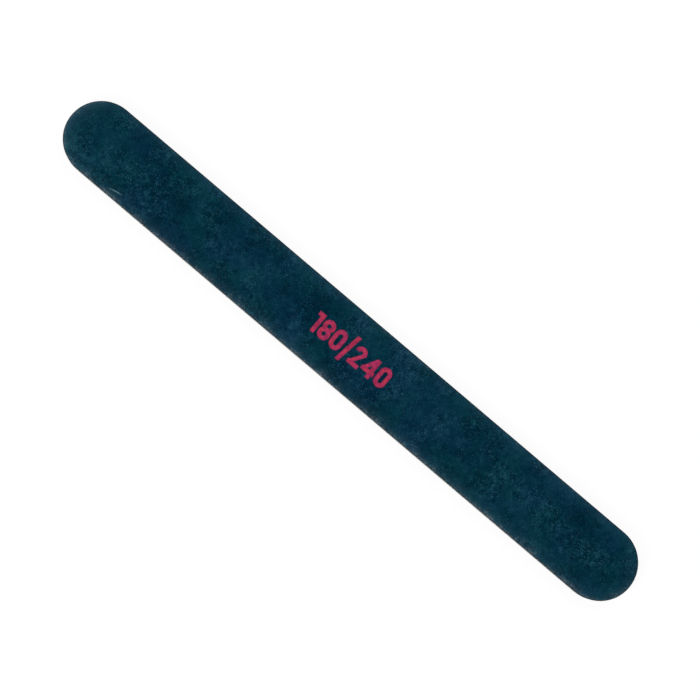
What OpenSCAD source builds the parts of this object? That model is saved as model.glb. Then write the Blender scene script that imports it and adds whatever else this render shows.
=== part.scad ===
// Emery board: abrasive paper on both sides of a foam cushioned plastic strip.
// Millimetres. The board lies on its back face on z = 0, long axis along X, origin at its centre.

/* [Board] */
// Overall length of the board
board_l = 180; // [90:1:240]
// Width of the board, and the diameter of its round ends
board_w = 19; // [12:0.5:30]

/* [Core and cushions] */
// Thickness of the stiff plastic strip in the middle
core_t = 0.8; // [0.5:0.1:2]
// Thickness of each tape between the strip and a cushion
core_tape_t = 0.1; // [0.05:0.01:0.2]
// Thickness of each foam cushion, away from the rim
foam_t = 0.9; // [0.7:0.1:3]
// Depth of the hollow that the cutting die leaves in a cushion's side
waist_depth = 0.08; // [0.02:0.01:0.15]
// Height of the straight lip left above and below that hollow
waist_lip = 0.1; // [0.02:0.01:0.15]

/* [Abrasive sheets] */
// Thickness of each tape between a cushion and its abrasive sheet
paper_tape_t = 0.1; // [0.05:0.01:0.2]
// Thickness of the backing paper
paper_t = 0.18; // [0.1:0.01:0.4]
// Thickness of the resin coat that bonds the grains to the paper
bond_t = 0.05; // [0.03:0.01:0.1]
// Thickness of the coarser grain coat, on the front face
front_grit_t = 0.12; // [0.06:0.01:0.3]
// Thickness of the finer grain coat, on the back face
back_grit_t = 0.1; // [0.06:0.01:0.3]

/* [Rim] */
// Width of the band along the edge where the die has pressed the face down
rim_roll = 1.2; // [0.4:0.1:1.5]
// Radius of the cushion's shoulder in that band
shoulder_r = 3.4; // [2.5:0.1:8]

/* [Grade mark] */
// Abrasive grades printed on the front face, coarse side and fine side
grade_mark = "180/240"; // [100/180, 180/240, 240/400]
// Height of the numerals
digit_h = 5.6; // [4:0.1:8]
// Width of the pen that draws the numerals
stroke_w = 1.2; // [0.5:0.05:1.3]
// How far the slash reaches above and below the numerals
slash_reach = 1.2; // [0:0.1:1.5]
// Gap between neighbouring numerals
digit_gap = 0.35; // [0.2:0.05:1.5]
// Thickness of the ink film
ink_t = 0.03; // [0.02:0.01:0.06]

/* [Hidden] */
$fn = 96;

end_r = board_w / 2;
straight_l = board_l - board_w;
flat_w = end_r - rim_roll;

// Heights above the middle of the strip, from the strip outwards
core_top = core_t / 2;
foam_base = core_top + core_tape_t;
foam_top = foam_base + foam_t;
paper_base = foam_top + paper_tape_t;
bond_base = paper_base + paper_t;
grit_base = bond_base + bond_t;
front_top = grit_base + front_grit_t;
back_top = grit_base + back_grit_t;

// Every rolled layer bends about one axis, which runs under the start of the rim at this height
roll_z = foam_top - shoulder_r;
// Height of a cushion's cut side, below its rolled shoulder
foam_side = sqrt(pow(shoulder_r, 2) - pow(rim_roll, 2)) + roll_z - foam_base;
waist_half = foam_side / 2 - waist_lip;
waist_r = (pow(waist_half, 2) + pow(waist_depth, 2)) / (2 * waist_depth);

// Widths of the numerals
digit_w = (digit_h + stroke_w) / 2;
ring_r = digit_w / 2;
flag_w = 0.9;
one_w = stroke_w + flag_w;
slash_lean = 1.1;
slash_w = stroke_w + slash_lean;
four_tail = 0.45;
four_w = digit_w + four_tail;
// Height at which the two turns from its curve to its slant, and of the four's bar
two_shoulder = digit_h - ring_r;
four_bar_y = 1;

tape_color = [0.8, 0.78, 0.7];
foam_color = [0.13, 0.14, 0.15];
paper_color = [0.42, 0.45, 0.47];
bond_color = [0.02, 0.12, 0.17];
grit_color = [0.04, 0.18, 0.24];

// Carries a half section, drawn as [distance from the middle line, height], round the whole board
module round_board() {
    for (side = [0, 1])
        mirror([0, side, 0])
            rotate([90, 0, 90])
                linear_extrude(straight_l, center = true)
                    children();
    for (end = [0, 1])
        mirror([end, 0, 0])
            translate([straight_l / 2, 0, 0])
                rotate([0, 0, -90])
                    rotate_extrude(angle = 180)
                        children();
}

// Half section of a flat layer between two heights
module flat_section(low, high) {
    translate([0, low])
        square([end_r, high - low]);
}

// Half section of a layer that rolls down at the rim
module rolled_section(low, high) {
    translate([0, low])
        square([flat_w, high - low]);
    intersection() {
        translate([flat_w, roll_z])
            square([rim_roll, high - roll_z]);
        translate([flat_w, roll_z])
            difference() {
                circle(r = high - roll_z);
                circle(r = low - roll_z);
            }
    }
}

// Half section of a cushion: flat below, rolled above, hollow at its cut side
module cushion_section() {
    difference() {
        union() {
            translate([0, foam_base])
                square([flat_w, foam_t]);
            intersection() {
                translate([flat_w, foam_base])
                    square([rim_roll, foam_t]);
                translate([flat_w, roll_z])
                    circle(r = shoulder_r);
            }
        }
        translate([end_r - waist_depth + waist_r, foam_base + foam_side / 2])
            circle(r = waist_r);
    }
}

// Lifts a layer of the front half to its height above the rest face
module front() {
    translate([0, 0, back_top])
        children();
}

// Turns a layer over, for the back half
module back() {
    front()
        mirror([0, 0, 1])
            children();
}

// Stiff plastic strip that keeps the board straight
module core_strip() {
    color([0.86, 0.87, 0.86])
        front() round_board() flat_section(-core_top, core_top);
}

// Double sided tapes between the strip and the cushions
module front_core_tape() {
    color(tape_color)
        front() round_board() flat_section(core_top, foam_base);
}

module back_core_tape() {
    color(tape_color)
        back() round_board() flat_section(core_top, foam_base);
}

// Closed cell foam that lets the face follow a nail
module front_foam_cushion() {
    color(foam_color)
        front() round_board() cushion_section();
}

module back_foam_cushion() {
    color(foam_color)
        back() round_board() cushion_section();
}

// Double sided tapes between the cushions and the abrasive sheets
module front_paper_tape() {
    color(tape_color)
        front() round_board() rolled_section(foam_top, paper_base);
}

module back_paper_tape() {
    color(tape_color)
        back() round_board() rolled_section(foam_top, paper_base);
}

// Paper that carries the grains
module front_backing_paper() {
    color(paper_color)
        front() round_board() rolled_section(paper_base, bond_base);
}

module back_backing_paper() {
    color(paper_color)
        back() round_board() rolled_section(paper_base, bond_base);
}

// Resin that holds the grains to the paper
module front_bond_coat() {
    color(bond_color)
        front() round_board() rolled_section(bond_base, grit_base);
}

module back_bond_coat() {
    color(bond_color)
        back() round_board() rolled_section(bond_base, grit_base);
}

// Grains, with the resin that locks them together
module front_grit_coat() {
    color(grit_color)
        front() round_board() rolled_section(grit_base, front_top);
}

module back_grit_coat() {
    color(grit_color)
        back() round_board() rolled_section(grit_base, back_top);
}

// Upright shape with round ends, its box from the origin
module pill(width, height) {
    for (y = [width / 2, height - width / 2])
        translate([width / 2, y])
            circle(d = width);
    translate([0, width / 2])
        square([width, height - width]);
}

module ring() {
    difference() {
        circle(r = ring_r);
        circle(r = ring_r - stroke_w);
    }
}

module zero() {
    difference() {
        pill(digit_w, digit_h);
        translate([stroke_w, stroke_w])
            pill(digit_w - 2 * stroke_w, digit_h - 2 * stroke_w);
    }
}

module one() {
    translate([flag_w, 0])
        square([stroke_w, digit_h]);
    translate([0, digit_h - stroke_w])
        square([one_w, stroke_w]);
}

// Half a ring, a slanting stroke and a foot
module two() {
    translate([ring_r, two_shoulder])
        difference() {
            ring();
            translate([-digit_w, -digit_w])
                square([2 * digit_w, digit_w]);
        }
    polygon([
        [digit_w - stroke_w, two_shoulder], [digit_w, two_shoulder],
        [stroke_w, stroke_w / 2], [0, stroke_w / 2]
    ]);
    square([digit_w, stroke_w]);
}

// A bar, a stem and a slanting stroke
module four() {
    stem_x = digit_w - stroke_w;
    slant_y = four_bar_y + stroke_w / 2;
    translate([0, four_bar_y])
        square([four_w, stroke_w]);
    translate([stem_x, 0])
        square([stroke_w, digit_h]);
    polygon([
        [0, slant_y], [stroke_w, slant_y],
        [digit_w, digit_h], [stem_x, digit_h]
    ]);
}

// Two rings that share one stroke
module eight() {
    for (y = [ring_r, digit_h - ring_r])
        translate([ring_r, y])
            ring();
}

module slash() {
    polygon([
        [0, -slash_reach], [stroke_w, -slash_reach],
        [slash_w, digit_h + slash_reach], [slash_lean, digit_h + slash_reach]
    ]);
}

module glyph(sign) {
    if (sign == "0") zero();
    if (sign == "1") one();
    if (sign == "2") two();
    if (sign == "4") four();
    if (sign == "8") eight();
    if (sign == "/") slash();
}

function glyph_w(sign) =
    sign == "1" ? one_w : sign == "4" ? four_w : sign == "/" ? slash_w : digit_w;

// How far along the mark a sign starts, with this many signs before it
function glyph_x(before) =
    before == 0 ? 0 : glyph_x(before - 1) + glyph_w(grade_mark[before - 1]) + digit_gap;

// Printed grades, one film of ink for each sign
module grade_print() {
    print_w = glyph_x(len(grade_mark)) - digit_gap;
    color([0.64, 0.2, 0.32])
        front()
            translate([-print_w / 2, -digit_h / 2, front_top])
                for (i = [0 : len(grade_mark) - 1])
                    translate([glyph_x(i), 0, 0])
                        linear_extrude(ink_t)
                            glyph(grade_mark[i]);
}

core_strip();
front_core_tape();
back_core_tape();
front_foam_cushion();
back_foam_cushion();
front_paper_tape();
back_paper_tape();
front_backing_paper();
back_backing_paper();
front_bond_coat();
back_bond_coat();
front_grit_coat();
back_grit_coat();
grade_print();
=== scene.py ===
import math

import bmesh
import bpy
import numpy as np
from mathutils import Matrix, Vector, noise
from mathutils.bvhtree import BVHTree


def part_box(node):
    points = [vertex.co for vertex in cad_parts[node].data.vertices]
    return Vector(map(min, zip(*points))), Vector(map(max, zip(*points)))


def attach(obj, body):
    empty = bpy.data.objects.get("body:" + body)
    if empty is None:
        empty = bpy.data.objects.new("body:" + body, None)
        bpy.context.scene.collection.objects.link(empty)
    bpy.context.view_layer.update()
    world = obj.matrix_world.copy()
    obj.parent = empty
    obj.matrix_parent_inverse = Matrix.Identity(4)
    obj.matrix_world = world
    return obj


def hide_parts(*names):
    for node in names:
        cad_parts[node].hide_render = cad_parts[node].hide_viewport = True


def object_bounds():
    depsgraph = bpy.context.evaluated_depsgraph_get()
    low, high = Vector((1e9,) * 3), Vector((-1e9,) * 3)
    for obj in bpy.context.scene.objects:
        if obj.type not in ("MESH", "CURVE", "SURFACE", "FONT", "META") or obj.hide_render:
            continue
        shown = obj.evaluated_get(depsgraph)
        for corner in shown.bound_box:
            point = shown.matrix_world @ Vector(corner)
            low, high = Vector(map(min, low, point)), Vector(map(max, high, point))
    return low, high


# Emery board: grit on paper, on foam cushions, on both sides of a plastic strip.
# Metres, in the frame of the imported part: X along the board, Z up out of the printed face.
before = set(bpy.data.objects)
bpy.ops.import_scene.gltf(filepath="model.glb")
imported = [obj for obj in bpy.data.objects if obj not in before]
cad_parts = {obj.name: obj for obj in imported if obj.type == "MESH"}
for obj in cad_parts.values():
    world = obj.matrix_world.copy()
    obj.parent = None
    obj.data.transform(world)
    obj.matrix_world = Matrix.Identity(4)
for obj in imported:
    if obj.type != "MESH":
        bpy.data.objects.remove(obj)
cad_low, cad_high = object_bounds()

MM = 0.001
FRONT, BACK = 1, -1

# The rim of the part, which its boxes don't tell
RIM_ROLL = 1.2 * MM
SHOULDER_R = 3.4 * MM
WAIST_DEPTH = 0.08 * MM

core_low, core_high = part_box("core_strip")
END_R = core_high.y
HALF_STRAIGHT = core_high.x - END_R
FLAT_R = END_R - RIM_ROLL
MIDDLE_Z = (core_low.z + core_high.z) / 2


def level(node):
    """Height of a front node's top over the middle of the board."""
    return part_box(node)[1].z - MIDDLE_Z


CORE_TOP = level("core_strip")
FOAM_BASE = level("front_core_tape")
FOAM_TOP = level("front_foam_cushion")
PAPER_BASE = level("front_paper_tape")
PAPER_TOP = level("front_backing_paper")
GRIT_BASE = level("front_bond_coat")
FRONT_TOP = level("front_grit_coat")
INK_THICKNESS = level("grade_print") - FRONT_TOP
BACK_TOP = MIDDLE_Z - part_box("back_grit_coat")[0].z
ROLL_AXIS = FOAM_TOP - SHOULDER_R


# Shapes


# How far apart the points of a gritty face lie
GRIT_SPACING = 0.215 * MM

# Radii of a layer's rings: closer together where its rim rolls down, or even all over
ROLL_RINGS = 6
RIM_RADII = np.concatenate([[0, FLAT_R / 2], np.linspace(FLAT_R, END_R, ROLL_RINGS)])
EVEN_RADII = np.linspace(0, END_R, round(END_R / GRIT_SPACING) + 1)

# Points closer than this become one, and faces that meet at more than this angle keep their edge
MERGE_DISTANCE = 0.0001 * MM
SHARP_ANGLE = math.radians(50)


def from_middle(x, y):
    """Distance of points from the line that joins the centres of the round ends."""
    return np.hypot(np.maximum(np.abs(x) - HALF_STRAIGHT, 0), y)


def flat(height):
    """A face that stays at one height."""
    return lambda x, y: np.full_like(x, height)


def rolled(height):
    """A face at that height which rolls down at the rim."""
    def face(x, y):
        past = np.maximum(from_middle(x, y) - FLAT_R, 0)
        return ROLL_AXIS + np.sqrt((height - ROLL_AXIS) ** 2 - past ** 2)
    return face


def noise_at(x, y, z, size, seed):
    """Smooth noise from about -1 to 1 at points, with patches of that size."""
    points = np.stack([np.ravel(x), np.ravel(y), np.ravel(z)], 1) / size + seed
    values = [noise.noise(Vector(p)) for p in points]
    return np.array(values).reshape(np.shape(x))


def face_noise(x, y, size, seed):
    """The same noise for points of a face, whatever their height."""
    return noise_at(x, y, 0 * x, size, seed)


def outline(spacing):
    """Columns round the board: each one's foot on the middle line and its outward direction."""
    straight = np.linspace(-HALF_STRAIGHT, HALF_STRAIGHT, round(2 * HALF_STRAIGHT / spacing) + 1)
    turn = np.linspace(math.pi / 2, -math.pi / 2, round(math.pi * END_R / spacing) + 1)[1:-1]
    upright = np.full_like(straight, math.pi / 2)
    feet = np.concatenate([straight, np.full_like(turn, HALF_STRAIGHT),
                           straight[::-1], np.full_like(turn, -HALF_STRAIGHT)])
    angles = np.concatenate([upright, turn, -upright, turn - math.pi])
    return feet, np.stack([np.cos(angles), np.sin(angles)], -1)


def ring_points(feet, outward, radii, face):
    """Points of a face, in rings at those distances from the middle line."""
    points = radii[:, None, None] * outward
    points[..., 0] += feet
    x, y = points[..., 0], points[..., 1]
    return np.stack([x, y, face(x, y)], -1)


def ring_faces(rings, columns):
    """Faces between neighbouring rings, as numbers of their corners."""
    numbers = np.arange(rings * columns).reshape(rings, columns)
    next_column = np.roll(numbers, -1, 1)
    faces = np.stack([numbers[:-1], next_column[:-1], next_column[1:], numbers[1:]], -1)
    return faces.reshape(-1, 4).tolist()


def layer(name, upper, lower, spacing, radii, wall_rows, cut, side=FRONT):
    """Closed mesh of one layer of the board, swept round its outline.

    Its rings run out over the upper face at those radii, down the wall, which cut(x, y, z, share
    up) sets back, and in again under the lower face.
    """
    feet, outward = outline(spacing)
    top = ring_points(feet, outward, radii, upper)
    bottom = ring_points(feet, outward, RIM_RADII[::-1], lower)
    down = np.linspace(0, 1, wall_rows + 1)[:, None, None]
    wall = top[-1] * (1 - down) + bottom[0] * down
    share_up = 1 - down[..., 0] + 0 * wall[..., 0]
    back = cut(wall[..., 0], wall[..., 1], wall[..., 2], share_up)
    wall[..., :2] -= outward * back[..., None]
    points = np.concatenate([top[:-1], wall, bottom[1:]])
    points[..., 2] = MIDDLE_Z + side * points[..., 2]
    mesh = bpy.data.meshes.new(name)
    mesh.from_pydata(points.reshape(-1, 3), [], ring_faces(*points.shape[:2]))
    return finished(mesh)


def finished(mesh):
    """Closes a mesh's middle, turns its faces outwards and shades it smooth up to sharp edges."""
    work = bmesh.new()
    work.from_mesh(mesh)
    bmesh.ops.remove_doubles(work, verts=work.verts, dist=MERGE_DISTANCE)
    bmesh.ops.recalc_face_normals(work, faces=work.faces)
    work.to_mesh(mesh)
    work.free()
    mesh.shade_smooth()
    mesh.set_sharp_from_angle(angle=SHARP_ANGLE)
    return mesh


def vertex_places(mesh):
    """The places of a mesh's vertices, one row each."""
    places = np.empty(len(mesh.vertices) * 3)
    mesh.vertices.foreach_get("co", places)
    return places.reshape(-1, 3)


def keep_inside(mesh):
    """Brings the few points that stand out of the board's own outline back to it."""
    places = vertex_places(mesh)
    nearest = np.clip(places[:, 0], -HALF_STRAIGHT, HALF_STRAIGHT)
    reach = from_middle(places[:, 0], places[:, 1])
    scale = np.minimum(1, END_R / np.maximum(reach, END_R / 2))
    places[:, 0] = nearest + (places[:, 0] - nearest) * scale
    places[:, 1] *= scale
    places[:, 2] = np.clip(places[:, 2], cad_low.z, cad_high.z)
    mesh.vertices.foreach_set("co", places.ravel())
    mesh.update()


def set_attribute(mesh, name, values):
    """Stores one number for each vertex."""
    made = mesh.attributes.new(name, "FLOAT", "POINT")
    made.data.foreach_set("value", np.asarray(values, np.float32).ravel())


# Cut edges: how far a wall is set back, from its place and its share of the way up

WAIST_STEEPNESS = 1.4
CELL_SIZE, CELL_DEPTH = 0.2 * MM, 0.16 * MM
FOAM_SETBACK = 0.01 * MM

TUFT_SIZE, FIBRE_SIZE = 0.5 * MM, 0.16 * MM
FIBRE_DEPTH, FIBRE_SWING = 0.03 * MM, 1.5

DIE_MARK_WIDTH, DIE_MARK_STRETCH = 0.25 * MM, 10
DIE_MARK_DEPTH, DIE_MARK_SWING = 0.02 * MM, 1.5
DIE_LIP = 0.03 * MM

BREAK_SIZE, BREAK_GROUP = 0.35 * MM, 1.7 * MM
BREAK_DEPTH = 0.035 * MM


def foam_cut(x, y, z, up):
    """The die's hollow waist, and the cells that it has opened."""
    waist = WAIST_DEPTH * np.clip(1 - (2 * up - 1) ** 2 * WAIST_STEEPNESS, 0, 1)
    cells = np.clip(noise_at(x, y, z, CELL_SIZE, 7.3), 0, 1) * CELL_DEPTH
    return waist + cells + FOAM_SETBACK


def paper_cut(x, y, z, up):
    """Torn fibres."""
    torn = noise_at(x, y, z, TUFT_SIZE, 3.1) / 2 + noise_at(x, y, z, FIBRE_SIZE, 5.7) / 2
    return np.clip(FIBRE_DEPTH * (1 + torn * FIBRE_SWING), 0, None)


def core_cut(x, y, z, up):
    """Upright die marks, and the lip where the die came out."""
    marks = noise_at(x, y, z / DIE_MARK_STRETCH, DIE_MARK_WIDTH, 1.9)
    return np.clip(DIE_MARK_DEPTH * (1 + marks * DIE_MARK_SWING) + DIE_LIP * up, 0, None)


def grit_cut(x, y, z, up):
    """Grains broken away along the rim."""
    broken = noise_at(x, y, z, BREAK_SIZE, 9.9) + noise_at(x, y, z, BREAK_GROUP, 4.4)
    return np.clip(BREAK_DEPTH * (1 + broken), 0, None)


# Node trees


# A noise seldom goes past these, so a step between them makes the most of it
NOISE_LOW, NOISE_HIGH = 0.35, 0.65


class Tree:
    """A node tree, with a short call for each kind of node that the finishes share."""

    def __init__(self, node_tree):
        self.nodes, self.links = node_tree.nodes, node_tree.links

    def add(self, kind, inputs=(), **settings):
        """A new node of that kind, with its settings and inputs filled in."""
        made = self.nodes.new(kind)
        for name, value in settings.items():
            setattr(made, name, value)
        for name, value in dict(inputs).items():
            self.fill(made.inputs[name], value)
        return made

    def fill(self, socket, value):
        """Links an input to another node's output, or sets it to a number or colour."""
        if isinstance(value, bpy.types.NodeSocket):
            self.links.new(value, socket)
        else:
            socket.default_value = value

    def math(self, operation, *values):
        """What Blender's operation of that name makes of the values."""
        made = self.add("ShaderNodeMath", operation=operation)
        for socket, value in zip(made.inputs, values):
            self.fill(socket, value)
        return made.outputs[0]

    def scaled(self, value, times, plus):
        """The value times a number, plus another."""
        return self.math("MULTIPLY_ADD", value, times, plus)

    def step(self, value, low, high, at_low=0.0, at_high=1.0):
        """Goes smoothly from at_low to at_high as value goes from low to high."""
        made = self.add("ShaderNodeMapRange", {
            "Value": value, "From Min": low, "From Max": high, "To Min": at_low, "To Max": at_high,
        }, interpolation_type="SMOOTHSTEP")
        return made.outputs["Result"]

    def mix(self, share, first, second):
        """The first colour with that share of the second in it."""
        made = self.add("ShaderNodeMix", data_type="RGBA")
        self.fill(made.inputs["Factor"], share)
        for socket, value in zip([s for s in made.inputs if s.type == "RGBA"], (first, second)):
            self.fill(socket, value)
        return [s for s in made.outputs if s.type == "RGBA"][0]

    def apart(self, vector):
        """The three numbers of a vector, by the names X, Y and Z."""
        return self.add("ShaderNodeSeparateXYZ", {"Vector": vector}).outputs

    def number(self, name):
        """A number stored on the mesh."""
        return self.add("ShaderNodeAttribute", attribute_name=name).outputs["Fac"]


class Finish(Tree):
    """The tree of a new material, which knows the place of each point on the board."""

    def __init__(self, name):
        self.material = bpy.data.materials.new(name)
        self.material.use_nodes = True
        super().__init__(self.material.node_tree)
        self.shader = self.nodes["Principled BSDF"]
        self.where = self.add("ShaderNodeTexCoord").outputs["Object"]

    def noise(self, size, seed, detail=1, roughness=0.5, where=None):
        """Noise with patches of that size, from about 0.25 to 0.75."""
        made = self.add("ShaderNodeTexNoise", {
            "Vector": self.where if where is None else where, "W": seed, "Scale": 1 / size,
            "Detail": detail, "Roughness": roughness,
        }, noise_dimensions="4D")
        return made.outputs[0]

    def cells(self, size):
        """Distance to the middle of the nearest cell of that size, and three random numbers for it."""
        made = self.add("ShaderNodeTexVoronoi", {"Vector": self.where, "Scale": 1 / size})
        lots = self.add("ShaderNodeSeparateColor", {"Color": made.outputs["Color"]}).outputs
        return made.outputs["Distance"], lots["Red"], lots["Green"], lots["Blue"]

    def stretched(self, along, up):
        """The place of each point, for a pattern that many times longer along the board or up."""
        made = self.add("ShaderNodeMapping", {
            "Vector": self.where, "Scale": (1 / along, 1 / along, 1 / up),
        })
        return made.outputs[0]

    def rim_distance(self):
        """How far a point lies inside the board's outline."""
        place = self.apart(self.where)
        past = self.math("SUBTRACT", self.math("ABSOLUTE", place["X"]), HALF_STRAIGHT)
        past = self.math("MAXIMUM", past, 0.0)
        squares = self.math("ADD", self.math("MULTIPLY", past, past),
                            self.math("MULTIPLY", place["Y"], place["Y"]))
        return self.math("SUBTRACT", END_R, self.math("SQRT", squares))

    def done(self, colour, height, depth, roughness, specular=0.5):
        """The material, with a bump of that depth from a height of 0 to 1."""
        self.fill(self.shader.inputs["Base Color"], colour)
        self.shader.inputs["Roughness"].default_value = roughness
        self.shader.inputs["Specular IOR Level"].default_value = specular
        bump = self.add("ShaderNodeBump", {"Height": height, "Distance": depth, "Strength": 1.0})
        self.fill(self.shader.inputs["Normal"], bump.outputs["Normal"])
        return self.material


def srgb(red, green, blue):
    """A colour read off a screen, 0 to 255, as Blender's linear one."""
    shares = [c / 255 for c in (red, green, blue)]
    return (*[s / 12.92 if s <= 0.04045 else ((s + 0.055) / 1.055) ** 2.4 for s in shares], 1)


# Finish of the grit

DEEP_BLUE, LIGHT_BLUE = srgb(0, 32, 50), srgb(10, 60, 82)
DEEP_GREEN, LIGHT_GREEN = srgb(0, 34, 47), srgb(4, 63, 77)
# Grey painted sheen, and the colour of painted glints
PAINTED_GREY_SHEEN, PAINTED_GLINT = srgb(108, 112, 122), srgb(62, 103, 122)
# Painted light on the rolled rim, and bare grains that wear and painted light both make paler
PAINTED_RIM_LIGHT, BARED_AND_LIT_GRAIN = srgb(64, 111, 133), srgb(118, 131, 139)
# Painted shade along the outermost rim, and a real scratch
PAINTED_RIM_SHADE, SCRATCHED = srgb(6, 26, 36), srgb(106, 146, 158)

# How much the grit's tone swings from cloud to cloud, clump to clump, and grain to grain
CLOUD_SWING, CLUMP_SWING, CELL_SWING, GRAIN_SWING = 1.5, 2.3, 0.5, 0.3

# The most painted sheen, the most painted highlight on a bright spot, how many grains glint, and how
# much
MOST_PAINTED_SHEEN, MOST_PAINTED_HIGHLIGHT = 0.034, 0.2
GLINT_CHANCE, GLINT_SHARE = 0.04, 0.32

# A grain's chance to have broken off rises at that rate past a little wear
BREAK_RATE, BREAK_DELAY = 1.3, 0.04

# How bare a broken and a rubbed grain look; the rubbed paleness is partly painted light
BROKEN_SHARE, RUBBED_AND_LIT_SHARE = 0.28, 0.66

# The painted shade along the outermost rim, up to where it is whole and to where it ends
RIM_SHADE_CORE, RIM_SHADE_EDGE = 0.1 * MM, 0.35 * MM
RIM_SHADE_SHARE = 0.75

# Bump of a grain, in shares of its width
DOME_WIDTH, DOME_HEIGHT = 0.7, 1 / 5

# The one long scratch, near the rim at the left of the print
SCRATCH_AT = Vector((-69.4 * MM, -7.6 * MM, 0))
SCRATCH_ANGLE = math.radians(12)
SCRATCH_LENGTH = 5 * MM
SCRATCH_CORE, SCRATCH_EDGE = 0.04 * MM, 0.2 * MM
SCRATCH_SHARE = 0.75


def grit_finish(name, grain, brightness):
    """Mineral grains of that width under dark blue resin, paler where the rim is worn and in painted
    light, with painted sheen and glints and a painted shade along the outermost rim.
    """
    finish = Finish(name)
    middle, lot, chance, hold = finish.cells(grain)
    # Clumps and the painted glints stand out more in some places
    rough = finish.step(finish.noise(6 * MM, seed=4, detail=2), 0.42, 0.64, at_low=0.45, at_high=1.35)
    tone = grit_tone(finish, lot, rough, brightness)
    colour = resin_dye_and_sheen(finish, tone)
    # Painted highlights: bright spots and glinting grains
    colour = finish.mix(painted_grit_shine(finish, grain, chance, rough), colour, PAINTED_GLINT)
    # Painted light where the rim rolls down, strongest at the -X end
    colour = finish.mix(finish.number("rim_glow"), colour, PAINTED_RIM_LIGHT)
    # Bare mineral where worn, heavier on the lit -Y and -X side as painted light
    colour = finish.mix(bared_and_lit_share(finish, hold), colour, BARED_AND_LIT_GRAIN)
    # Painted shade along the outermost rim
    rim_shade = finish.step(finish.rim_distance(), RIM_SHADE_CORE, RIM_SHADE_EDGE, at_low=RIM_SHADE_SHARE, at_high=0.0)
    colour = finish.mix(rim_shade, colour, PAINTED_RIM_SHADE)
    colour = finish.mix(scratch_mask(finish), colour, SCRATCHED)
    dome = finish.step(middle, 0.0, DOME_WIDTH, at_low=1.0, at_high=0.0)
    return finish.done(colour, dome, grain * DOME_HEIGHT, roughness=0.6, specular=0.01)


def grit_tone(finish, lot, rough, brightness):
    """How light the grit is, round its brightness: clouds, then clumps and single grains."""
    clouds = finish.noise(14 * MM, seed=2, detail=2, roughness=0.85)
    clumps = finish.noise(1.3 * MM, seed=3, detail=2, roughness=0.8)
    speckle = finish.scaled(clumps, CLUMP_SWING, plus=-(CLUMP_SWING + CELL_SWING) / 2)
    speckle = finish.scaled(lot, CELL_SWING, plus=speckle)
    tone = finish.scaled(clouds, CLOUD_SWING, plus=brightness - CLOUD_SWING / 2)
    tone = finish.scaled(speckle, rough, plus=tone)
    return finish.scaled(finish.number("grain_tone"), GRAIN_SWING, plus=tone)


def resin_dye_and_sheen(finish, tone):
    """Dark resin that drifts between blue and green, with a grey painted sheen where it is light."""
    blue = finish.mix(tone, DEEP_BLUE, LIGHT_BLUE)
    green = finish.mix(tone, DEEP_GREEN, LIGHT_GREEN)
    drift = finish.step(finish.noise(8 * MM, seed=1, detail=3), NOISE_LOW, NOISE_HIGH)
    # Painted sheen: greyer where the tone is light
    painted_sheen = finish.step(tone, 0.3, 1.0, at_high=MOST_PAINTED_SHEEN)
    return finish.mix(painted_sheen, finish.mix(drift, blue, green), PAINTED_GREY_SHEEN)


def painted_grit_shine(finish, grain, chance, rough):
    """Share of painted highlight on bright spots and on the few grains that glint."""
    highlight = finish.step(finish.noise(2.2 * grain, seed=5), 0.58, 0.72, at_high=MOST_PAINTED_HIGHLIGHT)
    glint = finish.math("MULTIPLY", finish.math("LESS_THAN", chance, GLINT_CHANCE), GLINT_SHARE)
    return finish.math("MULTIPLY", finish.math("MAXIMUM", highlight, glint), rough)


def bared_and_lit_share(finish, hold):
    """Share of bare mineral: worn grains are rubbed paler or have broken off whole; the extra paleness
    towards -Y and -X is painted light.
    """
    worn = finish.number("worn")
    broken = finish.math("LESS_THAN", hold, finish.scaled(worn, BREAK_RATE, plus=-BREAK_DELAY))
    return finish.scaled(broken, BROKEN_SHARE, plus=finish.math("MULTIPLY", worn, RUBBED_AND_LIT_SHARE))


def scratch_mask(finish):
    """Most along the scratch on the front, and 0 away from it."""
    local = finish.add("ShaderNodeMapping", {
        "Vector": finish.where, "Location": SCRATCH_AT, "Rotation": (0, 0, SCRATCH_ANGLE),
    }, vector_type="TEXTURE")
    place = finish.apart(local.outputs[0])
    along = finish.math("ABSOLUTE", place["X"])
    across = finish.math("ABSOLUTE", place["Y"])
    front_half = finish.step(finish.apart(finish.where)["Z"], MIDDLE_Z, MIDDLE_Z + CORE_TOP)
    tapered = finish.step(along, 0.0, SCRATCH_LENGTH / 2, at_low=1.0, at_high=0.0)
    thin = finish.step(across, SCRATCH_CORE, SCRATCH_EDGE, at_low=1.0, at_high=0.0)
    line = finish.math("MULTIPLY", finish.math("MULTIPLY", tapered, thin), front_half)
    return finish.math("MULTIPLY", line, SCRATCH_SHARE)


# Finish of the ink

DEEP_RED, LIGHT_RED = srgb(158, 36, 74), srgb(186, 52, 78)
DEEP_PINK, LIGHT_PINK = srgb(150, 37, 82), srgb(179, 49, 94)
THIN_INK = srgb(62, 30, 56)


def ink_finish():
    """Crimson ink, mottled with pink, through which the grit darkens pits and thin edges."""
    finish = Finish("crimson_ink")
    cover = finish.step(finish.noise(1.1 * MM, seed=11, detail=3), NOISE_LOW, NOISE_HIGH)
    red = finish.mix(cover, DEEP_RED, LIGHT_RED)
    pink = finish.mix(cover, DEEP_PINK, LIGHT_PINK)
    mottle = finish.step(finish.noise(1.8 * MM, seed=14), NOISE_LOW, NOISE_HIGH)
    colour = finish.mix(mottle, red, pink)
    pits = finish.step(finish.noise(0.3 * MM, seed=12), 0.32, 0.45, at_low=0.7, at_high=0.0)
    faded = finish.math("MAXIMUM", pits, finish.number("thin"))
    colour = finish.mix(faded, colour, THIN_INK)
    ripple = finish.noise(0.08 * MM, seed=13, detail=2)
    return finish.done(colour, ripple, 0.02 * MM, roughness=0.5, specular=0.1)


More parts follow.
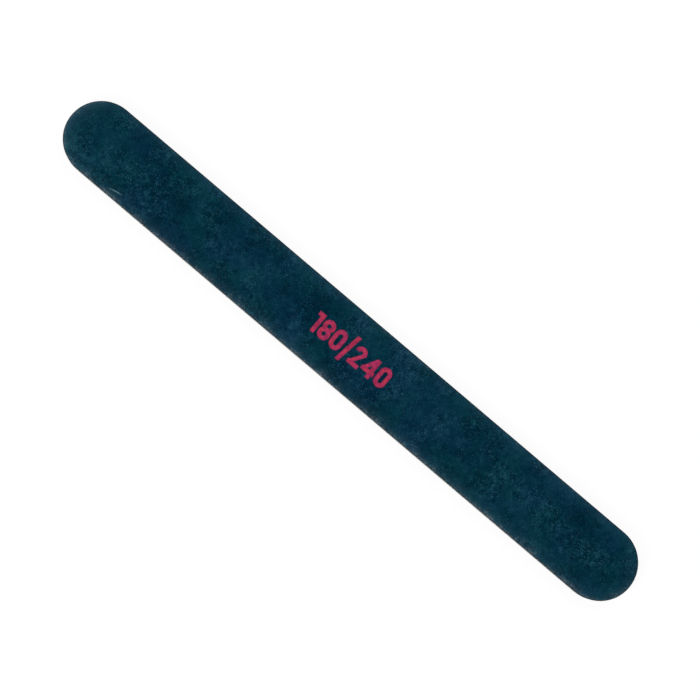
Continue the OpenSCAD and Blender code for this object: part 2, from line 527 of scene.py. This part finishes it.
# Finishes of the cut edges

BLUE_DUST = srgb(38, 64, 78)
PAINTED_PORE_SHADE, DARK_FOAM, LIGHT_FOAM = srgb(12, 13, 16), srgb(28, 34, 39), srgb(52, 61, 68)
DARK_FIBRE, LIGHT_FIBRE, STAINED_FIBRE = srgb(68, 86, 94), srgb(142, 158, 164), srgb(46, 62, 72)
DULL_WHITE, CLEAN_WHITE, DUSTY_WHITE = srgb(196, 198, 194), srgb(230, 231, 228), srgb(100, 122, 132)
CLEAN_ADHESIVE, DUSTY_ADHESIVE = srgb(140, 143, 136), srgb(66, 80, 86)
WHOLE_RESIN, BROKEN_RESIN = srgb(8, 40, 54), srgb(58, 84, 92)

# Pores of the foam, in shares of a cell's width
WIDEST_PORE, PORE_EDGE = 0.42, 0.16

# How dusty the white strip gets from close by, besides the blue dust
STRIP_DUST = 0.6


def grimed(finish, colour, most):
    """A cut edge's colour under blue dust, which hides up to that share of some stretches."""
    dust = finish.noise(10 * MM, seed=71, detail=3, roughness=0.8)
    return finish.mix(finish.step(dust, 0.42, 0.62, at_high=most), colour, BLUE_DUST)


def foam_finish():
    """Charcoal closed-cell foam, cut through its cells, with painted shade in its open pores."""
    finish = Finish("charcoal_foam")
    # Large cells of very unlike sizes, with small ones in the walls between them
    middle, lot = finish.cells(0.17 * MM)[:2]
    width = finish.math("MULTIPLY", lot, WIDEST_PORE)
    large = finish.step(middle, width, finish.math("ADD", width, PORE_EDGE))
    small = finish.step(finish.cells(0.07 * MM)[0], 0.1, 0.5, at_low=0.45)
    walls = finish.math("MULTIPLY", large, small)
    tone = finish.noise(1.6 * MM, seed=21, detail=4, roughness=0.7)
    # Painted shade in the open pores
    colour = finish.mix(walls, PAINTED_PORE_SHADE, finish.mix(tone, DARK_FOAM, LIGHT_FOAM))
    return finish.done(colour, walls, 0.04 * MM, roughness=0.85, specular=0.2)


def paper_finish():
    """Dyed latex paper with a fibrous cut edge."""
    finish = Finish("fibrous_paper")
    lengthwise = finish.stretched(along=4, up=1)
    fibres = finish.noise(0.08 * MM, seed=31, detail=4, roughness=0.7, where=lengthwise)
    colour = finish.mix(finish.step(fibres, NOISE_LOW, NOISE_HIGH), DARK_FIBRE, LIGHT_FIBRE)
    stain = finish.step(finish.noise(0.9 * MM, seed=32, detail=6, roughness=0.75), 0.44, 0.58)
    colour = grimed(finish, finish.mix(stain, colour, STAINED_FIBRE), most=0.75)
    return finish.done(colour, fibres, 0.03 * MM, roughness=0.9, specular=0.15)


def core_finish():
    """White polystyrene, with the upright marks of the cutting die."""
    finish = Finish("die_cut_polystyrene")
    marks = finish.noise(0.12 * MM, seed=41, detail=2, where=finish.stretched(along=1, up=12))
    colour = finish.mix(finish.step(marks, 0.3, 0.7), DULL_WHITE, CLEAN_WHITE)
    dust = finish.step(finish.noise(0.9 * MM, seed=42, detail=6, roughness=0.75), 0.5, 0.66)
    colour = finish.mix(finish.math("MULTIPLY", dust, STRIP_DUST), colour, DUSTY_WHITE)
    return finish.done(grimed(finish, colour, most=0.25), marks, 0.02 * MM, roughness=0.45)


def tape_finish():
    """Clear adhesive that has picked up grey dust on its cut edge."""
    finish = Finish("dusty_adhesive")
    dust = finish.step(finish.noise(0.3 * MM, seed=51, detail=5, roughness=0.75), 0.42, 0.58)
    colour = grimed(finish, finish.mix(dust, CLEAN_ADHESIVE, DUSTY_ADHESIVE), most=0.75)
    return finish.done(colour, dust, 0.01 * MM, roughness=0.4)


def resin_finish():
    """Dark blue resin that holds the grains, broken at the cut edge."""
    finish = Finish("dark_resin")
    broken = finish.step(finish.noise(0.2 * MM, seed=61, detail=4, roughness=0.7), 0.44, 0.62)
    colour = finish.mix(broken, WHOLE_RESIN, BROKEN_RESIN)
    return finish.done(colour, broken, 0.015 * MM, roughness=0.35)


# Print

print_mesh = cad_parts["grade_print"].data
print_tree = BVHTree.FromPolygons([v.co for v in print_mesh.vertices],
                                  [tuple(p.vertices) for p in print_mesh.polygons])
print_low, print_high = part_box("grade_print")


def printed(x, y):
    """Whether the numerals cover a point of the front face."""
    if not (print_low.x <= x <= print_high.x and print_low.y <= y <= print_high.y):
        return False
    return print_tree.ray_cast(Vector((x, y, print_high.z + MM)), Vector((0, 0, -1)))[0] is not None


def ink_map(x, y):
    """1 for the points that the numerals cover, and 0 for the rest."""
    return np.array([float(printed(px, py)) for px, py in zip(x, y)])


# Gritty faces

# How far inside the numerals a grain has to stand for ink to cover it whole
INK_MARGIN = 0.16 * MM

# Painted light on the rolled rim: how strong it is and how far it reaches in, all round and at -X
GLOW, GLOW_REACH, GLOW_CURVE = 0.09, 3.6 * MM, 1.3
END_GLOW, END_GLOW_REACH = 0.18, 2.2 * MM

# Wear, partly painted light: a narrow rubbed rim, less of it towards +Y and +X, away from the light,
# and a broad faint one
RUBBED_AND_LIT, LESS_AT_Y, LESS_AT_X = 0.28, 0.16, 0.1
RUBBED_AND_LIT_REACH = 0.36 * MM
HANDLED_AND_LIT, HANDLED_AND_LIT_REACH = 0.014, 1.6 * MM

# It comes in patches of two sizes, which widen and strengthen it, and in chips
PATCH_SIZE, SPOT_SIZE, CHIP_SIZE = 4.5 * MM, 1.4 * MM, 0.5 * MM
PATCH_OVER_SPOT = 1.3
REACH_SWING, LEAST_REACH, MOST_REACH = 0.65, 0.5, 1.8
PATCH_SWING, CHIP_SWING = 0.35, 1.3

# How deep full wear goes, and the share of its grains that it takes away
WORN_DEPTH = 0.02 * MM
GRAINS_LOST = 0.6

# A bed's points this far over its lower face are on its upper face
OVER_LOWER_FACE = 0.005 * MM


def rim_place(x, y):
    """How far inside the outline points lie, and the direction in which it is nearest."""
    reach = np.maximum(from_middle(x, y), MM)
    toward_x = (x - np.clip(x, -HALF_STRAIGHT, HALF_STRAIGHT)) / reach
    return END_R - reach, toward_x, y / reach


def rim_glow(x, y):
    """Painted light on the face as it rolls down, which is strongest at the -X end."""
    inside, toward_x = rim_place(x, y)[:2]
    all_round = GLOW * np.clip(1 - inside / GLOW_REACH, 0, 1) ** GLOW_CURVE
    return all_round + END_GLOW * np.maximum(-toward_x, 0) * np.exp(-inside / END_GLOW_REACH)


class Face:
    """One gritty face of the board, with its relief, its wear, which carries painted light too, and
    its resin bed.

    The tips of its grains stand at least tip_height over the resin. The relief is the size and
    the depth of each of its waves, the broadest first.
    """

    def __init__(self, name, side, top, grain, tip_height, relief, seed):
        self.name, self.side, self.top, self.grain = name, side, top, grain
        self.tip_height, self.relief, self.seed = tip_height, relief, seed

    def wear_and_light(self, x, y):
        """1 where the rim's grains are rubbed or broken off, and 0 on the flat: least at +Y. Its rise
        towards -Y and -X, the lit side, is painted light in the finish.
        """
        inside, toward_x, toward_y = rim_place(x, y)
        patches = face_noise(x, y, PATCH_SIZE, self.seed + 4) * PATCH_OVER_SPOT
        patches += face_noise(x, y, SPOT_SIZE, self.seed + 5)
        chips = face_noise(x, y, CHIP_SIZE, self.seed + 6)
        reach = RUBBED_AND_LIT_REACH * np.clip(1 + patches * REACH_SWING, LEAST_REACH, MOST_REACH)
        # Both less towards +Y, and the narrow one towards +X, away from the light: painted light
        near = np.exp(-inside / reach) * (RUBBED_AND_LIT - LESS_AT_Y * toward_y - LESS_AT_X * toward_x)
        broad = np.exp(-inside / HANDLED_AND_LIT_REACH) * HANDLED_AND_LIT * (1 - toward_y)
        return np.clip((near + broad) * (1 + patches * PATCH_SWING + chips * CHIP_SWING), 0, 1)

    def height(self, x, y):
        """Height of the resin bed between the grains, over the board's middle."""
        depth = np.full_like(x, self.tip_height)
        for number, (size, swing) in enumerate(self.relief):
            depth += swing * (1 - face_noise(x, y, size, self.seed + number)) / 2
        depth += WORN_DEPTH * self.wear_and_light(x, y)
        return rolled(self.top)(x, y) - depth

    def bed(self):
        """The resin bed as a closed mesh, with the numbers that its grains and finish read."""
        mesh = layer(self.name + "_grit_bed", self.height, rolled(GRIT_BASE), spacing=GRIT_SPACING,
                     radii=EVEN_RADII, wall_rows=1, cut=grit_cut, side=self.side)
        x, y, z = vertex_places(mesh).T
        upper = self.side * (z - MIDDLE_Z) > rolled(GRIT_BASE)(x, y) + OVER_LOWER_FACE
        worn = self.wear_and_light(x, y)
        # Wear for the finish, heavier on the lit side as painted light
        set_attribute(mesh, "worn", worn * upper)
        # Painted light on the rolled rim, for the finish
        set_attribute(mesh, "rim_glow", rim_glow(x, y) * upper)
        inked = ink_map(x, y) * (self.side == FRONT)
        deep = inked.copy()
        for dx, dy in ((1, 0), (-1, 0), (0, 1), (0, -1)):
            deep *= ink_map(x + dx * INK_MARGIN, y + dy * INK_MARGIN)
        set_attribute(mesh, "inked", deep * upper)
        set_attribute(mesh, "bare", (1 - inked) * upper * (1 - GRAINS_LOST * worn))
        return mesh


# Grains

GRAIN_KINDS = 4
GRAIN_INPUTS = (
    ("Face", "NodeSocketGeometry"), ("Grains per square metre", "NodeSocketFloat"),
    ("Grain width", "NodeSocketFloat"), ("Clump size", "NodeSocketFloat"),
    ("Share that holds grains", "NodeSocketString"), ("Seed", "NodeSocketInt"),
    ("Finish", "NodeSocketMaterial"),
)

# How far a grain's corners are pulled about, and its least and most width, breadth and height
CORNER_PULL = 0.18
LEAST_SHAPE, MOST_SHAPE = (0.6, 0.6, 0.45), (1.25, 1.25, 0.9)

TURN_SEED, SHAPE_SEED, KIND_SEED, TONE_SEED = 11, 12, 13, 14


def random_vector(tree, low, high, seed):
    """A random vector for each point or grain."""
    made = tree.add("FunctionNodeRandomValue", {"Min": low, "Max": high, "Seed": seed},
                    data_type="FLOAT_VECTOR")
    return made.outputs["Value"]


def grain_spots(tree, given):
    """Points on a face, in clumps, where the number stored there lets grains stand."""
    place = tree.add("GeometryNodeInputPosition").outputs[0]
    allowed = tree.add("GeometryNodeInputNamedAttribute", {"Name": given["Share that holds grains"]},
                       data_type="FLOAT")
    clumps = tree.add("ShaderNodeTexNoise", {
        "Vector": place, "W": given["Seed"], "Scale": tree.math("DIVIDE", 1.0, given["Clump size"]),
    }, noise_dimensions="4D").outputs[0]
    density = tree.math("MULTIPLY", given["Grains per square metre"],
                        tree.step(clumps, 0.35, 0.65, 0.35, 1.65))
    density = tree.math("MULTIPLY", density, allowed.outputs["Attribute"])
    spots = tree.add("GeometryNodeDistributePointsOnFaces", {
        "Mesh": given["Face"], "Density": density, "Seed": given["Seed"],
    }, distribute_method="RANDOM")
    return spots.outputs["Points"]


def grain_kinds(tree):
    """A few unlike grains, each an eight-sided ball with its corners pulled about."""
    kinds = tree.add("GeometryNodeJoinGeometry")
    for number in range(GRAIN_KINDS):
        ball = tree.add("GeometryNodeMeshUVSphere", {"Segments": 4, "Rings": 2, "Radius": 0.5})
        pull = random_vector(tree, (-CORNER_PULL,) * 3, (CORNER_PULL,) * 3, number)
        bent = tree.add("GeometryNodeSetPosition", {"Geometry": ball.outputs["Mesh"], "Offset": pull})
        one = tree.add("GeometryNodeGeometryToInstance", {"Geometry": bent.outputs[0]})
        tree.links.new(one.outputs[0], kinds.inputs[0])
    return kinds.outputs[0]


def placed_grains(tree, given):
    """One of the grains at each spot, turned, stretched and sized at random."""
    points, kinds = grain_spots(tree, given), grain_kinds(tree)
    turned = tree.add("FunctionNodeEulerToRotation", {
        "Euler": random_vector(tree, (0, 0, 0), (math.tau,) * 3, TURN_SEED),
    })
    size = tree.add("ShaderNodeVectorMath", {
        0: random_vector(tree, LEAST_SHAPE, MOST_SHAPE, SHAPE_SEED), "Scale": given["Grain width"],
    }, operation="SCALE")
    # By number, because the names repeat: inputs 4 and 5 bound the whole number at output 2
    which = tree.add("FunctionNodeRandomValue", {4: 0, 5: GRAIN_KINDS - 1, "Seed": KIND_SEED},
                     data_type="INT")
    grains = tree.add("GeometryNodeInstanceOnPoints", {
        "Points": points, "Instance": kinds, "Pick Instance": True,
        "Instance Index": which.outputs[2], "Rotation": turned.outputs[0], "Scale": size.outputs[0],
    })
    return grains.outputs[0]


def grain_tree():
    """Geometry nodes that scatter irregular grains over a face and half sink them in it."""
    group = bpy.data.node_groups.new("scattered_grains", "GeometryNodeTree")
    for name, kind in GRAIN_INPUTS:
        group.interface.new_socket(name, in_out="INPUT", socket_type=kind)
    group.interface.new_socket("Grains", in_out="OUTPUT", socket_type="NodeSocketGeometry")
    tree = Tree(group)
    given = tree.add("NodeGroupInput").outputs
    tone = tree.add("FunctionNodeRandomValue", {"Seed": TONE_SEED}, data_type="FLOAT")
    toned = tree.add("GeometryNodeStoreNamedAttribute", {
        "Geometry": placed_grains(tree, given), "Name": "grain_tone", "Value": tone.outputs[1],
    }, data_type="FLOAT", domain="INSTANCE")
    real = tree.add("GeometryNodeRealizeInstances", {"Geometry": toned.outputs[0]})
    done = tree.add("GeometryNodeSetMaterial", {"Geometry": real.outputs[0],
                                                "Material": given["Finish"]})
    tree.add("NodeGroupOutput", {"Grains": done.outputs[0]})
    return group


def scatter(name, bed, group, values):
    """The plain mesh of the grains that the tree scatters over a bed, for those inputs."""
    host = bpy.data.objects.new(name + "_host", bed)
    bpy.context.scene.collection.objects.link(host)
    modifier = host.modifiers.new("grains", "NODES")
    modifier.node_group = group
    inputs = {item.name: item.identifier for item in group.interface.items_tree
              if item.in_out == "INPUT"}
    for label, value in values.items():
        modifier[inputs[label]] = value
    evaluated = host.evaluated_get(bpy.context.evaluated_depsgraph_get())
    mesh = bpy.data.meshes.new_from_object(evaluated)
    mesh.name = name
    host.modifiers.remove(modifier)
    bpy.data.objects.remove(host)
    keep_inside(mesh)
    return mesh


# Ink film

INK_CELL = 0.08 * MM
INK_SINK = 0.03 * MM

# Rounds that smooth the film's rim, the share that a point keeps of its place, and its raggedness
RIM_ROUNDS = 3
RIM_KEPT = 0.4
RAG_SIZE, RAG_DEPTH = 0.22 * MM, 0.035 * MM
RAG_SEEDS = (91.3, 97.8)


def without_corner_joins(inked):
    """Fills a cell wherever two inked ones would touch by their corners alone."""
    while True:
        a, b, c, d = inked[:-1, :-1], inked[1:, :-1], inked[:-1, 1:], inked[1:, 1:]
        falling, rising = a & d & ~b & ~c, b & c & ~a & ~d
        if not (falling.any() or rising.any()):
            return inked
        b |= falling
        a |= rising


def inked_cells(left, foot):
    """Which cells of a grid from that corner the numerals cover."""
    across = math.ceil((print_high.x - print_low.x) / INK_CELL) + 2
    upward = math.ceil((print_high.y - print_low.y) / INK_CELL) + 2
    inked = np.array([[printed(left + (i + 0.5) * INK_CELL, foot + (j + 0.5) * INK_CELL)
                       for j in range(upward)] for i in range(across)])
    return without_corner_joins(inked)


def eroded(inked):
    """The inked cells that have an inked cell on all four sides."""
    kept = inked.copy()
    kept[1:-1, 1:-1] &= inked[:-2, 1:-1] & inked[2:, 1:-1] & inked[1:-1, :-2] & inked[1:-1, 2:]
    return kept


def film_sheet(left, foot):
    """A flat sheet with one face for each inked cell, whose points know how thin the ink is."""
    inked = inked_cells(left, foot)
    once = eroded(inked)
    depth = np.pad(inked * 1.0 + once + eroded(once), 1)
    sheet = bmesh.new()
    thin = sheet.verts.layers.float.new("thin")
    corners = {}

    def corner(i, j):
        if (i, j) not in corners:
            made = sheet.verts.new((left + i * INK_CELL, foot + j * INK_CELL, 0))
            made[thin] = 1 - depth[i:i + 2, j:j + 2].mean() / 3
            corners[i, j] = made
        return corners[i, j]

    for i, j in np.argwhere(inked):
        sheet.faces.new([corner(i, j), corner(i + 1, j), corner(i + 1, j + 1), corner(i, j + 1)])
    return sheet


def fray(sheet):
    """Smooths the stepped rim of a sheet, and then makes it a little ragged."""
    rim = [(v, [e.other_vert(v) for e in v.link_edges if e.is_boundary])
           for v in sheet.verts if v.is_boundary]
    pulled = (1 - RIM_KEPT) / 2
    for _ in range(RIM_ROUNDS):
        moved = [(v, v.co * RIM_KEPT + (pair[0].co + pair[1].co) * pulled)
                 for v, pair in rim if len(pair) == 2]
        for v, place in moved:
            v.co = place
    x, y = np.array([v.co[:2] for v, _ in rim]).T
    shifts = [face_noise(x, y, RAG_SIZE, seed) * RAG_DEPTH for seed in RAG_SEEDS]
    for (v, _), dx, dy in zip(rim, *shifts):
        v.co += Vector((dx, dy, 0))


def list_by_place(sheet):
    """Lists a sheet's faces by their places, because an extrusion's own order differs each run."""
    by_place = sorted(sheet.faces, key=lambda f: tuple(f.calc_center_median()))
    for number, made in enumerate(by_place):
        made.index = number
    sheet.faces.sort()


def ink_film(face):
    """The numerals as a closed film that follows the grit under it, with ragged edges."""
    sheet = film_sheet(print_low.x - INK_CELL, print_low.y - INK_CELL)
    fray(sheet)
    x, y = np.array([v.co[:2] for v in sheet.verts]).T
    for v, height in zip(sheet.verts, face.height(x, y)):
        v.co.z = MIDDLE_Z + height + INK_THICKNESS
    lowered = bmesh.ops.extrude_face_region(sheet, geom=list(sheet.faces))["geom"]
    for v in lowered:
        if isinstance(v, bmesh.types.BMVert):
            v.co.z -= INK_THICKNESS + INK_SINK
    list_by_place(sheet)
    mesh = bpy.data.meshes.new("grade_print_film")
    sheet.to_mesh(mesh)
    sheet.free()
    return finished(mesh)


# Pieces


def piece(mesh, finish, slot, *nodes):
    """A finished piece of the board, which stands for those nodes of the part."""
    made = bpy.data.objects.new(mesh.name, mesh)
    bpy.context.scene.collection.objects.link(made)
    mesh.materials.clear()
    mesh.materials.append(finish)
    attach(made, "root")
    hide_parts(*nodes)
    return made


def dress(node, finish):
    """Gives a node of the part its finish."""
    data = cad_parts[node].data
    data.materials.clear()
    data.materials.append(finish)


foam, paper, core = foam_finish(), paper_finish(), core_finish()
tape, resin, ink = tape_finish(), resin_finish(), ink_finish()

front = Face("front", FRONT, FRONT_TOP, grain=0.19 * MM, tip_height=0.03 * MM, seed=20,
             relief=((4 * MM, 0.014 * MM), (0.9 * MM, 0.03 * MM), (0.34 * MM, 0.04 * MM)))
back = Face("back", BACK, BACK_TOP, grain=0.15 * MM, tip_height=0.02 * MM, seed=60,
            relief=((4 * MM, 0.012 * MM), (0.7 * MM, 0.022 * MM), (0.3 * MM, 0.03 * MM)))
front_grit = grit_finish("coarse_blue_grit", front.grain, brightness=0.34)
back_grit = grit_finish("fine_blue_grit", back.grain, brightness=0.3)

# How thick the grains stand, and how wide the small and the inked ones are beside the large
GRAINS_PER_M2, INKED_GRAINS_PER_M2 = 7.2e6, 16e6
SMALL_GRAIN, INKED_GRAIN = 0.62, 0.8
GRAIN_CLUMP = 1.1 * MM
INKED_SEED = 5
grains = grain_tree()

for face, finish in ((front, front_grit), (back, back_grit)):
    bed = face.bed()
    node, slot = face.name + "_grit_coat", face.name + "_grit"
    for kind, share, seed in (("large", 1.0, 1), ("small", SMALL_GRAIN, 2)):
        mesh = scatter(f"{face.name}_{kind}_grains", bed, grains, {
            "Grains per square metre": GRAINS_PER_M2, "Grain width": face.grain * share,
            "Clump size": GRAIN_CLUMP, "Share that holds grains": "bare",
            "Seed": seed + face.seed, "Finish": finish,
        })
        piece(mesh, finish, slot, node)
    if face is front:
        mesh = scatter("grade_print_grains", bed, grains, {
            "Grains per square metre": INKED_GRAINS_PER_M2, "Grain width": face.grain * INKED_GRAIN,
            "Clump size": GRAIN_CLUMP, "Share that holds grains": "inked",
            "Seed": INKED_SEED, "Finish": ink,
        })
        piece(mesh, ink, "print_ink", "grade_print")
        piece(ink_film(face), ink, "print_ink", "grade_print")
    piece(bed, finish, slot, node)

for name, side in (("front", FRONT), ("back", BACK)):
    mesh = layer(name + "_cushion", rolled(FOAM_TOP), flat(FOAM_BASE), spacing=0.13 * MM,
                 radii=RIM_RADII, wall_rows=9, cut=foam_cut, side=side)
    cushion = piece(mesh, foam, "foam", name + "_foam_cushion")
    mesh = layer(name + "_paper", rolled(PAPER_TOP), rolled(PAPER_BASE), spacing=0.15 * MM,
                 radii=RIM_RADII, wall_rows=3, cut=paper_cut, side=side)
    piece(mesh, paper, "backing_paper", name + "_backing_paper")
    dress(name + "_core_tape", tape)
    dress(name + "_paper_tape", tape)
    dress(name + "_bond_coat", resin)
strip = layer("plastic_strip", flat(CORE_TOP), flat(-CORE_TOP), spacing=0.15 * MM, radii=RIM_RADII,
              wall_rows=6, cut=core_cut)
piece(strip, core, "core_plastic", "core_strip")


# Floor

WHITE = (1, 1, 1, 1)
FLOOR_SIDE = 6
FLOOR_SHADE = srgb(236, 236, 236)

# Share of the floor's own shade that the camera doesn't see, and the white that it sees instead
FLOOR_GLOW_SHARE = 0.87
FLOOR_GLOW = 1.04


def floor_finish():
    """White to the camera, with part of the soft shadow left in."""
    finish = Finish("pale_floor")
    finish.shader.inputs["Base Color"].default_value = FLOOR_SHADE
    finish.shader.inputs["Roughness"].default_value = 1.0
    finish.shader.inputs["Specular IOR Level"].default_value = 0.0
    white = finish.add("ShaderNodeEmission", {"Color": WHITE, "Strength": FLOOR_GLOW})
    seen = finish.add("ShaderNodeLightPath").outputs["Is Camera Ray"]
    blend = finish.add("ShaderNodeMixShader", {"Fac": finish.math("MULTIPLY", seen, FLOOR_GLOW_SHARE)})
    finish.links.new(finish.shader.outputs[0], blend.inputs[1])
    finish.links.new(white.outputs[0], blend.inputs[2])
    finish.links.new(blend.outputs[0], finish.nodes["Material Output"].inputs["Surface"])
    return finish.material


bpy.ops.mesh.primitive_plane_add(size=FLOOR_SIDE)
floor = bpy.context.object
floor.name = "floor"
floor.data.materials.append(floor_finish())


# Camera

# The photo: its side in pixels, its scale, and where the board lies in it
PHOTO_SIDE = 700
PIXELS_PER_MM = 4.065
BOARD_PIXEL = Vector((350.87, 350.59))
BOARD_SLOPE = math.radians(40.33)
LENS, SENSOR = 100, 36
TILT = math.radians(5)

# The board runs down to the right in the photo, and the camera leans towards its lower edge
toward_camera = Vector((0, -math.sin(TILT), math.cos(TILT)))
across_board = Vector((0, math.cos(TILT), math.sin(TILT)))
along_board = Vector((1, 0, 0))
photo_right = math.cos(BOARD_SLOPE) * along_board + math.sin(BOARD_SLOPE) * across_board
photo_up = math.cos(BOARD_SLOPE) * across_board - math.sin(BOARD_SLOPE) * along_board
distance = PHOTO_SIDE / PIXELS_PER_MM * MM * LENS / SENSOR
off_centre = (BOARD_PIXEL - Vector((PHOTO_SIDE / 2, PHOTO_SIDE / 2))) / PIXELS_PER_MM * MM
target = Vector((0, 0, cad_high.z)) - photo_right * off_centre.x + photo_up * off_centre.y
camera = bpy.data.objects.new("camera", bpy.data.cameras.new("camera"))
bpy.context.scene.collection.objects.link(camera)
camera.data.lens, camera.data.sensor_width = LENS, SENSOR
turn = Matrix((photo_right, photo_up, toward_camera)).transposed()
camera.matrix_world = Matrix.Translation(target + toward_camera * distance) @ turn.to_4x4()
bpy.context.scene.camera = camera


# Light

LAMP_DISTANCE = 0.6

# The white world's strength as the board's light, and as the camera sees it
WORLD_LIGHT, WORLD_SEEN = 0.54, 1.0


def lamp(name, bearing, elevation, side, power):
    """A square soft light of that side, its bearing counted anticlockwise from the photo's right."""
    data = bpy.data.lights.new(name, "AREA")
    data.size, data.energy = side, power
    made = bpy.data.objects.new(name, data)
    bpy.context.scene.collection.objects.link(made)
    b, e = math.radians(bearing), math.radians(elevation)
    level_right = Vector((photo_right.x, photo_right.y, 0)).normalized()
    level_up = Vector((-level_right.y, level_right.x, 0))
    away = (math.cos(b) * level_right + math.sin(b) * level_up) * math.cos(e)
    away += Vector((0, 0, math.sin(e)))
    made.location = away * LAMP_DISTANCE
    made.rotation_mode = "QUATERNION"
    made.rotation_quaternion = away.to_track_quat("Z", "Y")


lamp("key", bearing=215, elevation=42, side=0.4, power=1.8)
lamp("fill", bearing=50, elevation=38, side=0.5, power=1.08)

world = bpy.data.worlds.new("studio")
bpy.context.scene.world = world
world.use_nodes = True
sky = Tree(world.node_tree)
backdrop = sky.nodes["Background"]
seen = sky.add("ShaderNodeLightPath").outputs["Is Camera Ray"]
sky.fill(backdrop.inputs["Color"], WHITE)
sky.fill(backdrop.inputs["Strength"], sky.step(seen, 0.0, 1.0, WORLD_LIGHT, WORLD_SEEN))
bpy.context.scene.view_settings.view_transform = "Standard"
